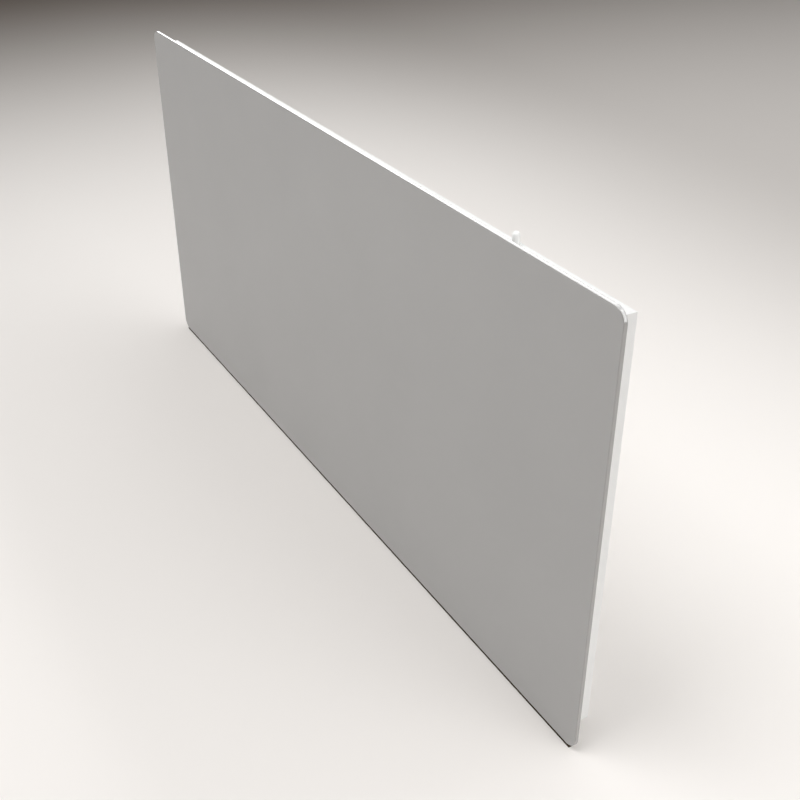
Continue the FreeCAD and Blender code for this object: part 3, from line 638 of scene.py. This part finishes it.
@dataclass
class FrontPlate:
    """The glass plate, with round corners, a polished rim and an etched face."""

    corner_radius: float = 15 * MM
    corner_steps: int = 24
    arris_radius: float = 0.8 * MM
    arris_steps: int = 5
    area_weight: int = 100
    flat_share: float = 0.999

    def build(self) -> None:
        """Make the plate from a plane and dress its face and its rim."""
        low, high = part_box("front_plate")
        width, depth, height = high - low
        middle = (low + high) / 2
        work = Workpiece("front_plate_glass", bpy.ops.mesh.primitive_plane_add, (width, height, 1.0),
                         size=1.0, location=(middle.x, low.y, middle.z),
                         rotation=(QUARTER_TURN, 0.0, 0.0))
        work.choose(Pick.POINTS, lambda point: True)
        work.bevel(self.corner_radius, self.corner_steps, points=True)
        work.choose(Pick.FACES, lambda face: True).extrude((0.0, depth, 0.0))
        work.choose(Pick.EDGES, lambda edge: at(edge, Axis.Y, low.y) or at(edge, Axis.Y, high.y))
        work.bevel(self.arris_radius, self.arris_steps)
        plate = work.done(DOME_DEGREES)
        apply_modifier(plate, "WEIGHTED_NORMAL", keep_sharp=True, weight=self.area_weight)
        plate.data.materials.append(GLASS.material())
        plate.data.materials.append(GLASS_EDGE.material())
        for face in plate.data.polygons:
            face.material_index = 0 if abs(face.normal.y) > self.flat_share else 1
        seat(plate, Body.HEATER, "front_plate", GLASS)


@dataclass
class HeatingLayers:
    """What lies behind the plate: the heating film, its track, the reflector and the insulation."""

    def build(self) -> None:
        """Dress the layers from the plate to the wall."""
        dress_nodes({
            "heater_film": AMBER_FILM, "heater_track": TRACK_FOIL, "facing_film": FACING_FILM,
            "film_contacts": BRASS, "reflector_mat": REFLECTOR, "insulation_board": WOOL,
            "thermal_cutouts": BLACK_PHENOLIC, "cutout_blades": BRASS,
        })


@dataclass
class Casing:
    """Four folded rails behind the plate, their corner keys and the bead that bonds them to the glass."""

    sides: tuple[str, ...] = ("top", "right", "bottom", "left")

    def build(self) -> None:
        """Dress the rails, the keys and the bead."""
        dress_nodes({f"casing_rail_{side}": WHITE_COAT for side in self.sides})
        dress_nodes({"corner_keys": ZINC, "bond_seal": SILICONE})


@dataclass
class RearCover:
    """The sheet that closes the casing, with its screws, wall hangers, rivets and bare rating plate."""

    levels: tuple[str, ...] = ("upper", "lower")
    sides: tuple[str, ...] = ("left", "right")

    def build(self) -> None:
        """Dress the cover, the hangers and the rating plate."""
        dress_nodes({"rear_cover": WHITE_COAT, "cover_screws": WHITE_COAT, "hanger_rivets": ZINC,
                     "rating_plate": RATING_ALUMINIUM})
        dress_nodes({f"hanger_{level}_{side}": ZINC for level in self.levels for side in self.sides})


@dataclass
class Terminals:
    """The terminal box with its outer cover, the block with three poles and the earth stud."""

    def build(self) -> None:
        """Dress the box, its cover and what is in it."""
        dress_nodes({
            "terminal_box": GREY_NYLON, "terminal_cover": WHITE_PLASTIC, "terminal_cover_screws": ZINC,
            "terminal_block": IVORY_NYLON, "terminal_clamps": BRASS, "terminal_screws": ZINC,
            "earth_stud": BRASS, "earth_ring": BRASS, "earth_nuts": BRASS,
        })


@dataclass
class CordGland:
    """The gland for the supply cord, with a fluted cap."""

    bore_radius: float = 3.4 * MM
    hollow_radius: float = 5.05 * MM
    least_wall: float = 1 * MM
    mouth: float = 2 * MM
    edge_radius: float = 1.5 * MM
    edge_steps: int = 5
    rounds: int = 60
    flute_every: int = 3
    flute_margin: float = 0.12 * MM
    flute_depth: float = 0.45 * MM
    upright_share: float = 0.1

    def build(self) -> None:
        """Make the cap and dress the rest of the gland."""
        low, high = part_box("cord_gland_cap")
        middle = (low + high) / 2
        radius = (high.x - low.x) / 2
        flat = radius * math.cos(math.pi / self.rounds)
        work = Workpiece("cord_gland_cap_fluted", bpy.ops.mesh.primitive_cylinder_add,
                         vertices=self.rounds, radius=radius, depth=high.z - low.z, location=middle)
        work.choose(Pick.FACES, lambda face: at(face, Axis.Z, high.z))
        work.inset(flat - self.hollow_radius).extrude((0.0, 0.0, low.z + self.mouth - high.z))
        work.inset(self.hollow_radius - self.bore_radius).drop_faces()
        work.choose(Pick.FACES, lambda face: at(face, Axis.Z, low.z))
        work.inset(flat - self.bore_radius).drop_faces()
        work.choose(Pick.EDGES, lambda edge: near(edge, middle, self.bore_radius + SLACK)).bridge()
        work.choose(Pick.EDGES, lambda edge: at(edge, Axis.Z, low.z) and beyond(edge, middle, flat - SLACK))
        work.bevel(self.edge_radius, self.edge_steps)
        work.choose(Pick.FACES, lambda face: self.takes_flute(face, middle))
        work.inset(self.flute_margin, -self.flute_depth, single=True)
        seat(work.done(), Body.HEATER, "cord_gland_cap", GREY_NYLON)
        dress_nodes({"cord_gland_body": GREY_NYLON, "cord_gland_locknut": GREY_NYLON,
                     "cord_gland_seal": BLACK_RUBBER})

    def takes_flute(self, face: bmesh.types.BMFace, middle: Vector) -> bool:
        """Tell whether a face is an upright outer one at which a flute is due.

        Args:
            face: A face of the cap.
            middle: The middle of the cap.

        Returns:
            Whether the face takes a flute.
        """
        centre = face.calc_center_median() - middle
        if abs(face.normal.z) > self.upright_share:
            return False
        if centre.xy.length < self.hollow_radius + self.least_wall or face.normal.dot(centre) <= 0:
            return False
        step = round(math.atan2(centre.y, centre.x) / FULL_TURN * self.rounds - 0.5)
        return step % self.flute_every == 0


@dataclass
class PushSwitch:
    """The push button on the casing's top, its low collar, its return spring and the switch below it."""

    rounds: int = 64
    flange_height: float = 2 * MM
    flange_radius: float = 5.2 * MM
    button_radius: float = 4.2 * MM
    dome_flat: float = 0.05 * MM
    dome_steps: int = 14
    collar_bore: float = 5.25 * MM
    collar_edge: float = 0.3 * MM
    collar_edge_steps: int = 4
    collar_chamfer: float = 0.15 * MM
    collar_chamfer_steps: int = 2
    travel: float = 2.5 * MM
    wire_radius: float = 0.35 * MM
    wire_sides: int = 12
    spring_turns: int = 5
    turn_steps: int = 32

    def build(self) -> None:
        """Make the button, the collar and the spring and dress the switch."""
        self.build_button()
        self.build_collar()
        self.build_spring()
        dress_nodes({"switch_body": WHITE_PLASTIC, "switch_tabs": BRASS})

    def build_button(self) -> None:
        """Make the domed plunger on its flange."""
        low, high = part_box("push_button")
        middle = (low + high) / 2
        flange_top = low.z + self.flange_height
        work = Workpiece("push_button_domed", bpy.ops.mesh.primitive_cylinder_add, vertices=self.rounds,
                         radius=self.flange_radius, depth=self.flange_height,
                         location=(middle.x, middle.y, low.z + self.flange_height / 2))
        flat = self.flange_radius * math.cos(math.pi / self.rounds)
        work.choose(Pick.FACES, lambda face: at(face, Axis.Z, flange_top))
        work.inset(flat - self.button_radius).extrude((0.0, 0.0, high.z - flange_top))
        work.choose(Pick.EDGES, lambda edge: at(edge, Axis.Z, high.z))
        work.bevel(self.button_radius - self.dome_flat, self.dome_steps)
        button = work.done(DOME_DEGREES)
        seat(button, Body.BUTTON, "push_button", WHITE_PLASTIC)

    def build_collar(self) -> None:
        """Make the low ring nut round the barrel."""
        low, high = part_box("switch_collar")
        middle = (low + high) / 2
        radius = (high.x - low.x) / 2
        flat = radius * math.cos(math.pi / self.rounds)
        work = Workpiece("switch_collar_rounded", bpy.ops.mesh.primitive_cylinder_add,
                         vertices=self.rounds, radius=radius, depth=high.z - low.z, location=middle)
        for level in (low.z, high.z):
            work.choose(Pick.FACES, lambda face: at(face, Axis.Z, level))
            work.inset(flat - self.collar_bore).drop_faces()
        bore = self.collar_bore + SLACK
        work.choose(Pick.EDGES, lambda edge: near(edge, middle, bore)).bridge()
        work.choose(Pick.EDGES, lambda edge: at(edge, Axis.Z, high.z) and beyond(edge, middle, flat - SLACK))
        work.bevel(self.collar_edge, self.collar_edge_steps)
        work.choose(Pick.EDGES, lambda edge: at(edge, Axis.Z, high.z) and near(edge, middle, bore))
        work.bevel(self.collar_chamfer, self.collar_chamfer_steps)
        seat(work.done(), Body.HEATER, "switch_collar", WHITE_PLASTIC)

    def build_spring(self) -> None:
        """Wind the return spring as a coil of wire."""
        low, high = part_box("button_spring")
        middle = (low + high) / 2
        coil_radius = (high.x - low.x) / 2 - self.wire_radius
        pitch = (high.z - low.z - 2 * self.wire_radius) / self.spring_turns
        work = Workpiece("button_spring_coiled", bpy.ops.mesh.primitive_circle_add,
                         vertices=self.wire_sides, radius=self.wire_radius,
                         location=(coil_radius, 0.0, low.z + self.wire_radius),
                         rotation=(QUARTER_TURN, 0.0, 0.0))
        apply_modifier(work.done(), "SCREW", axis="Z", angle=FULL_TURN, screw_offset=pitch,
                       iterations=self.spring_turns, steps=self.turn_steps, render_steps=self.turn_steps)
        bpy.ops.object.mode_set(mode="EDIT")
        bpy.ops.mesh.select_all(action="SELECT")
        bpy.ops.mesh.fill_holes(sides=0)
        bpy.ops.transform.translate(value=(middle.x, middle.y, 0.0))
        spring = work.done()
        seat(spring, Body.HEATER, "button_spring", ZINC)
        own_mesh(spring)


@dataclass
class Wiring:
    """The leads inside the casing."""

    def build(self) -> None:
        """Dress the leads in the colours of their duty."""
        dress_nodes({
            "live_lead": BROWN_LEAD, "switched_lead": BROWN_LEAD, "link_lead": PALE_LEAD,
            "return_lead": PALE_LEAD, "neutral_lead": BLUE_LEAD, "earth_lead": GREEN_LEAD,
        })


@dataclass(frozen=True)
class PaintedFall:
    """A run of the floor on one axis, over which painted shade darkens its tone to a share: a falloff of
    light painted into the paper.
    """

    axis: Axis
    start: float
    end: float
    share: float


@dataclass(frozen=True)
class PaperFloor(Finish):
    """A sweep of matt white paper with painted shade: its colour darkens towards the wall and at both sides,
    a falloff of light painted in.

    It is even and without gloss. A painted contact shadow darkens the paper where the plate stands, along
    the straight run of its lower edge, which gives the black line under the plate.
    """

    # Painted shade: each fall darkens the paper's colour the way a falloff of light would.
    painted_falls: tuple[PaintedFall, ...] = (
        PaintedFall(Axis.Y, 0.49, 1.64, 0.645),
        PaintedFall(Axis.X, -0.8, -4.4, 0.03),
        PaintedFall(Axis.X, 1.2, 2.6, 0.55),
    )
    # The painted contact shadow stops this far short of the plate's ends.
    contact_shadow_ends: float = 9 * MM
    specular: float = 0.1

    def dress(self, surface: Surface) -> None:
        """Add the painted shade: the falls of the tone and the painted contact shadow under the plate.

        Args:
            surface: The material in the making.
        """
        tree = surface.tree
        axes = add_node(tree, "ShaderNodeSeparateXYZ", {"Vector": surface.place}).outputs
        # Painted contact shadow: the paper under the plate takes the full shade colour.
        light = add_node(tree, "ShaderNodeMath", {1: self.painted_contact_shadow_mask(tree, axes)}, {0: 1.0},
                         operation="SUBTRACT")
        for fall in self.painted_falls:
            share = add_node(tree, "ShaderNodeMapRange", {"Value": axes[fall.axis.name]},
                             {"From Min": fall.start, "From Max": fall.end,
                              "To Min": 1.0, "To Max": fall.share}, interpolation_type="SMOOTHSTEP")
            light = add_node(tree, "ShaderNodeMath",
                             {0: light.outputs["Value"], 1: share.outputs["Result"]}, operation="MULTIPLY")
        # Painted shade: this share mixes the paper towards its shade colour, for the painted falloff and the
        # painted contact shadow.
        painted_shade = add_node(tree, "ShaderNodeMath", {1: light.outputs["Value"]}, {0: 1.0},
                        operation="SUBTRACT")
        self.lay_patterns(surface, painted_shade.outputs["Value"])
        surface.shader.inputs["Specular IOR Level"].default_value = self.specular

    def painted_contact_shadow_mask(self, tree: bpy.types.NodeTree, axes: bpy.types.NodeOutputs) -> bpy.types.NodeSocket:
        """Mark the paper under the plate for the painted contact shadow.

        Args:
            tree: The material's node tree.
            axes: Outputs that give the place on each axis.

        Returns:
            One under the plate and zero elsewhere.
        """
        low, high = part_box("front_plate")
        middle, half = (low + high) / 2, (high - low) / 2
        within = []
        for axis, run in ((Axis.X, half.x - self.contact_shadow_ends), (Axis.Y, half.y)):
            within.append(add_node(tree, "ShaderNodeMath", {0: axes[axis.name]}, {1: middle[axis], 2: run},
                                   operation="COMPARE").outputs["Value"])
        both = add_node(tree, "ShaderNodeMath", dict(enumerate(within)), operation="MULTIPLY")
        return both.outputs["Value"]


# The shade colour is the dark end of the painted shade and of the painted contact shadow.
FLOOR = PaperFloor("white_paper_sweep_matt_painted_shade", "#F6F2EE", "#46382A", (0.82, 0.88))


@dataclass(frozen=True)
class SoftBox:
    """A lamp behind a sheet of diffuser, aimed at the middle of the heater.

    A flagged lamp has a screen that keeps its light off the floor.
    """

    name: str
    place: tuple[float, float, float]
    size: tuple[float, float]
    level: float
    roll: float = 0.0
    flagged: bool = False

    def build(self, floor: bpy.types.Object) -> None:
        """Hang the lamp and set its power from the level that its diffuser shows.

        Args:
            floor: What the screen of a flagged lamp shades.
        """
        width, height = self.size
        lamp = bpy.data.lights.new(self.name, "AREA")
        lamp.shape = "RECTANGLE"
        lamp.size, lamp.size_y = width, height
        lamp.energy = math.pi * self.level * width * height
        box = bpy.data.objects.new(self.name, lamp)
        box.location = self.place
        aim = (-Vector(self.place)).to_track_quat("-Z", "Y")
        roll = Quaternion((0.0, 0.0, 1.0), math.radians(self.roll))
        box.rotation_euler = (aim @ roll).to_euler()
        box.visible_camera = False
        bpy.context.scene.collection.objects.link(box)
        if self.flagged:
            flag = bpy.data.collections.new(f"{self.name}_flag")
            flag.objects.link(floor)
            flag.collection_objects[0].light_linking.link_state = "EXCLUDE"
            box.light_linking.receiver_collection = flag


@dataclass
class Studio:
    """The floor, the lamps, the world and the camera of the photograph's view."""

    camera_place: tuple[float, float, float] = (1.24407, -0.64734, 0.70841)
    camera_down: float = 31.310
    camera_turn: float = 59.757
    lens: float = 50.0
    sensor: float = 36.0
    nearest: float = 10 * MM
    floor_radius: float = 9.5
    floor_sides: int = 96
    wall_height: float = 4.0
    sweep_radius: float = 3.0
    sweep_steps: int = 16
    # The gap lets the painted contact shadow on the floor show under the plate's lower edge.
    floor_gap: float = 2.7 * MM
    sky: float = 0.26
    sky_colour: str = "#FFFFFF"
    lamps: tuple[SoftBox, ...] = (
        SoftBox("top_box", (0.71, 0.33, 3.2), (3.5, 3.5), 0.58),
        SoftBox("front_box", (-0.24, -1.6, 3.55), (2.6, 2.0), 4.85),
        SoftBox("fill_box", (-2.3, -4.2, 2.3), (4.5, 1.4), 5.8, flagged=True),
        SoftBox("rim_strip", (-6.3, 3.7, 2.9), (5.4, 1.1), 4.2, -30.0),
        SoftBox("corner_strip", (-0.6, 3.0, 3.7), (4.2, 0.4), 5.0, -20.0),
        SoftBox("side_box", (3.4, 1.1, 1.1), (1.6, 1.6), 4.13),
    )
    arc_leans: tuple[float, ...] = (36.0, 47.0, 58.0, 69.0)
    arc_away: float = 4.5
    arc_size: tuple[float, float] = (1.36, 0.3)
    arc_level: float = 7.0

    def build(self) -> None:
        """Set up the studio."""
        self.build_camera()
        floor = self.build_floor()
        for lamp in (*self.lamps, *self.corner_boxes()):
            lamp.build(floor)
        self.build_world()
        bpy.context.scene.view_settings.view_transform = "Standard"

    def build_camera(self) -> None:
        """Set the camera at the photograph's place and angle."""
        lens = bpy.data.cameras.new("camera")
        lens.lens = self.lens
        lens.sensor_width = self.sensor
        lens.clip_start = self.nearest
        camera = bpy.data.objects.new("camera", lens)
        camera.location = self.camera_place
        camera.rotation_euler = (QUARTER_TURN - math.radians(self.camera_down), 0.0,
                                 math.radians(self.camera_turn))
        bpy.context.scene.collection.objects.link(camera)
        bpy.context.scene.camera = camera

    def corner_boxes(self) -> list[SoftBox]:
        """Line up boxes that the rim mirrors to the camera where it turns from the plate's top to its end.

        Returns:
            One box for each lean of the rim from upright, in degrees, laid along the path of the images.
        """
        low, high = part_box("front_plate")
        corner = Vector((high.x, low.y, high.z))
        view = (corner - Vector(self.camera_place)).normalized()
        boxes = []
        for lean in self.arc_leans:
            rim = Vector((math.sin(math.radians(lean)), 0.0, math.cos(math.radians(lean))))
            ray = view.reflect(rim)
            place = corner + self.arc_away * ray
            along = (-place).to_track_quat("-Z", "Y").inverted() @ Vector((ray.z, 0.0, -ray.x))
            roll = math.degrees(math.atan2(along.y, along.x))
            boxes.append(SoftBox(f"arc_box_{lean:.0f}", tuple(place), self.arc_size, self.arc_level, roll))
        return boxes

    def build_floor(self) -> bpy.types.Object:
        """Lay the floor just under the plate's lower edge and sweep it up all round.

        Returns:
            The floor.
        """
        level = cad_box[0].z - self.floor_gap
        work = Workpiece("floor", bpy.ops.mesh.primitive_cylinder_add, vertices=self.floor_sides,
                         radius=self.floor_radius, depth=self.wall_height,
                         location=(0.0, 0.0, level + self.wall_height / 2))
        work.choose(Pick.FACES, lambda face: at(face, Axis.Z, level + self.wall_height)).drop_faces()
        work.choose(Pick.EDGES, lambda edge: at(edge, Axis.Z, level))
        work.bevel(self.sweep_radius, self.sweep_steps)
        floor = work.done()
        floor.data.materials.append(FLOOR.material())
        return floor

    def build_world(self) -> None:
        """Fill the room with an even pale light."""
        world = bpy.data.worlds.new("studio")
        world.use_nodes = True
        tree = world.node_tree
        tree.nodes.clear()
        light = add_node(tree, "ShaderNodeBackground",
                         values={"Color": linear(self.sky_colour), "Strength": self.sky})
        add_node(tree, "ShaderNodeOutputWorld", {"Surface": light.outputs["Background"]})
        bpy.context.scene.world = world


def main() -> None:
    """Set up the studio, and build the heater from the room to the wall."""
    logging.basicConfig(level=logging.INFO, format="%(message)s")
    Studio().build()
    FrontPlate().build()
    HeatingLayers().build()
    Casing().build()
    RearCover().build()
    Terminals().build()
    CordGland().build()
    PushSwitch().build()
    Wiring().build()


if __name__ == "__main__":
    main()
